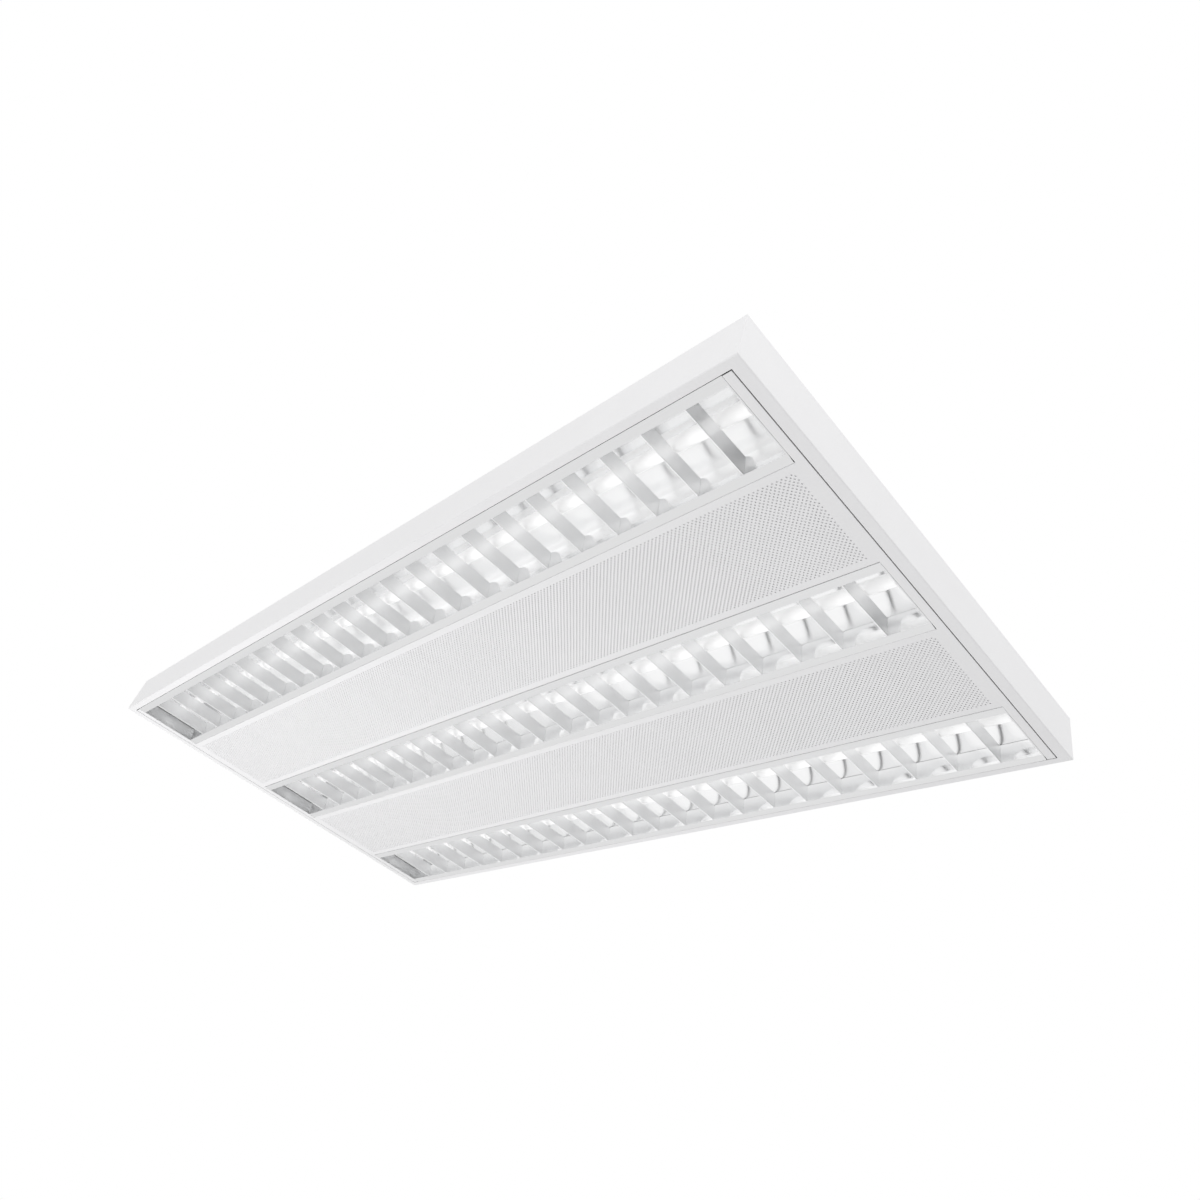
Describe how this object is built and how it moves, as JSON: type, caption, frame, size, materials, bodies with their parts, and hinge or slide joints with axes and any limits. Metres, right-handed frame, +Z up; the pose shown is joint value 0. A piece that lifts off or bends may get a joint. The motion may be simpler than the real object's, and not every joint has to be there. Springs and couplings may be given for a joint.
{
  "type": "tube light fixture",
  "caption": "Low white surface-mounted ceiling light for straight tubes, with mirrored drop-down louvres between perforated panels.",
  "frame": {"origin": "centre of the ceiling face, the top of the back plate", "axes": "+X along the tubes, +Y across them away from the louvres' hinge side, +Z up into the ceiling"},
  "size_m": [1.2, 0.607, 0.055],
  "materials": {
    "housing_paint": "white powder coat, fine satin",
    "panel_paint": "white powder coat on perforated sheet",
    "galvanised_sheet": "galvanised sheet",
    "mirror_aluminium": "bright anodised, mirror-like",
    "blade_aluminium": "satin anodised",
    "tube_glass": "white coated inside, opaque",
    "cap_aluminium": "plain",
    "contact_brass": "plain",
    "holder_plastic": "white",
    "rotor_plastic": "white",
    "pin_steel": "bright zinc",
    "spring_steel": "plain",
    "ballast_plastic": "white case, filled",
    "terminal_plastic": "grey",
    "block_plastic": "white",
    "screw_steel": "bright zinc",
    "grommet_rubber": "black",
    "wire_sheath": "white",
    "clip_plastic": "white"
  },
  "bodies": {
    "housing": {"back_plate": "housing_paint", "side_rail_front": "housing_paint", "side_rail_rear": "housing_paint", "end_cap_left": "housing_paint", "end_cap_right": "housing_paint", "end_bulkhead_left": "housing_paint", "end_bulkhead_right": "housing_paint", "perforated_panel_front": "panel_paint", "perforated_panel_rear": "panel_paint", "reflector_brackets": "galvanised_sheet", "catch_clips": "spring_steel", "ballast_front_case": "ballast_plastic", "ballast_front_terminals": "terminal_plastic", "ballast_rear_case": "ballast_plastic", "ballast_rear_terminals": "terminal_plastic", "ballast_screws": "screw_steel", "cable_grommet": "grommet_rubber", "terminal_block": "block_plastic", "terminal_screws": "screw_steel", "earth_stud": "screw_steel", "lamp_wires": "wire_sheath", "mains_wires": "wire_sheath", "wire_clips": "clip_plastic", "lamp_reflector_1": "mirror_aluminium", "lampholder_1_left": "holder_plastic", "lampholder_1_right": "holder_plastic", "lamp_reflector_2": "mirror_aluminium", "lampholder_2_left": "holder_plastic", "lampholder_2_right": "holder_plastic", "lamp_reflector_3": "mirror_aluminium", "lampholder_3_left": "holder_plastic", "lampholder_3_right": "holder_plastic"},
    "louvre_1": {"louvre_1_side_front": "mirror_aluminium", "louvre_1_side_rear": "mirror_aluminium", "louvre_1_blades": "blade_aluminium", "louvre_1_end_plates": "blade_aluminium", "louvre_1_pins": "pin_steel"},
    "lamp_1": {"lamp_1_tube": "tube_glass", "lamp_1_caps": "cap_aluminium", "lamp_1_contacts": "contact_brass", "lamp_1_rotors": "rotor_plastic"},
    "louvre_2": {"louvre_2_side_front": "mirror_aluminium", "louvre_2_side_rear": "mirror_aluminium", "louvre_2_blades": "blade_aluminium", "louvre_2_end_plates": "blade_aluminium", "louvre_2_pins": "pin_steel"},
    "lamp_2": {"lamp_2_tube": "tube_glass", "lamp_2_caps": "cap_aluminium", "lamp_2_contacts": "contact_brass", "lamp_2_rotors": "rotor_plastic"},
    "louvre_3": {"louvre_3_side_front": "mirror_aluminium", "louvre_3_side_rear": "mirror_aluminium", "louvre_3_blades": "blade_aluminium", "louvre_3_end_plates": "blade_aluminium", "louvre_3_pins": "pin_steel"},
    "lamp_3": {"lamp_3_tube": "tube_glass", "lamp_3_caps": "cap_aluminium", "lamp_3_contacts": "contact_brass", "lamp_3_rotors": "rotor_plastic"}
  },
  "joints": [
    {"name": "louvre_1_hinge", "type": "hinge", "parent": "housing", "child": "louvre_1", "pos_m": [0, -0.2882, -0.0522], "axis": [-1, 0, 0], "range_deg": [0, 90]},
    {"name": "louvre_2_hinge", "type": "hinge", "parent": "housing", "child": "louvre_2", "pos_m": [0, -0.0467, -0.0522], "axis": [-1, 0, 0], "range_deg": [0, 90]},
    {"name": "louvre_3_hinge", "type": "hinge", "parent": "housing", "child": "louvre_3", "pos_m": [0, 0.1948, -0.0522], "axis": [-1, 0, 0], "range_deg": [0, 90]},
    {"name": "lamp_1_turn", "type": "hinge", "parent": "housing", "child": "lamp_1", "pos_m": [0, -0.2415, -0.025], "axis": [1, 0, 0], "range_deg": [0, 90]},
    {"name": "lamp_2_turn", "type": "hinge", "parent": "housing", "child": "lamp_2", "pos_m": [0, 0, -0.025], "axis": [1, 0, 0], "range_deg": [0, 90]},
    {"name": "lamp_3_turn", "type": "hinge", "parent": "housing", "child": "lamp_3", "pos_m": [0, 0.2415, -0.025], "axis": [1, 0, 0], "range_deg": [0, 90]}
  ]
}
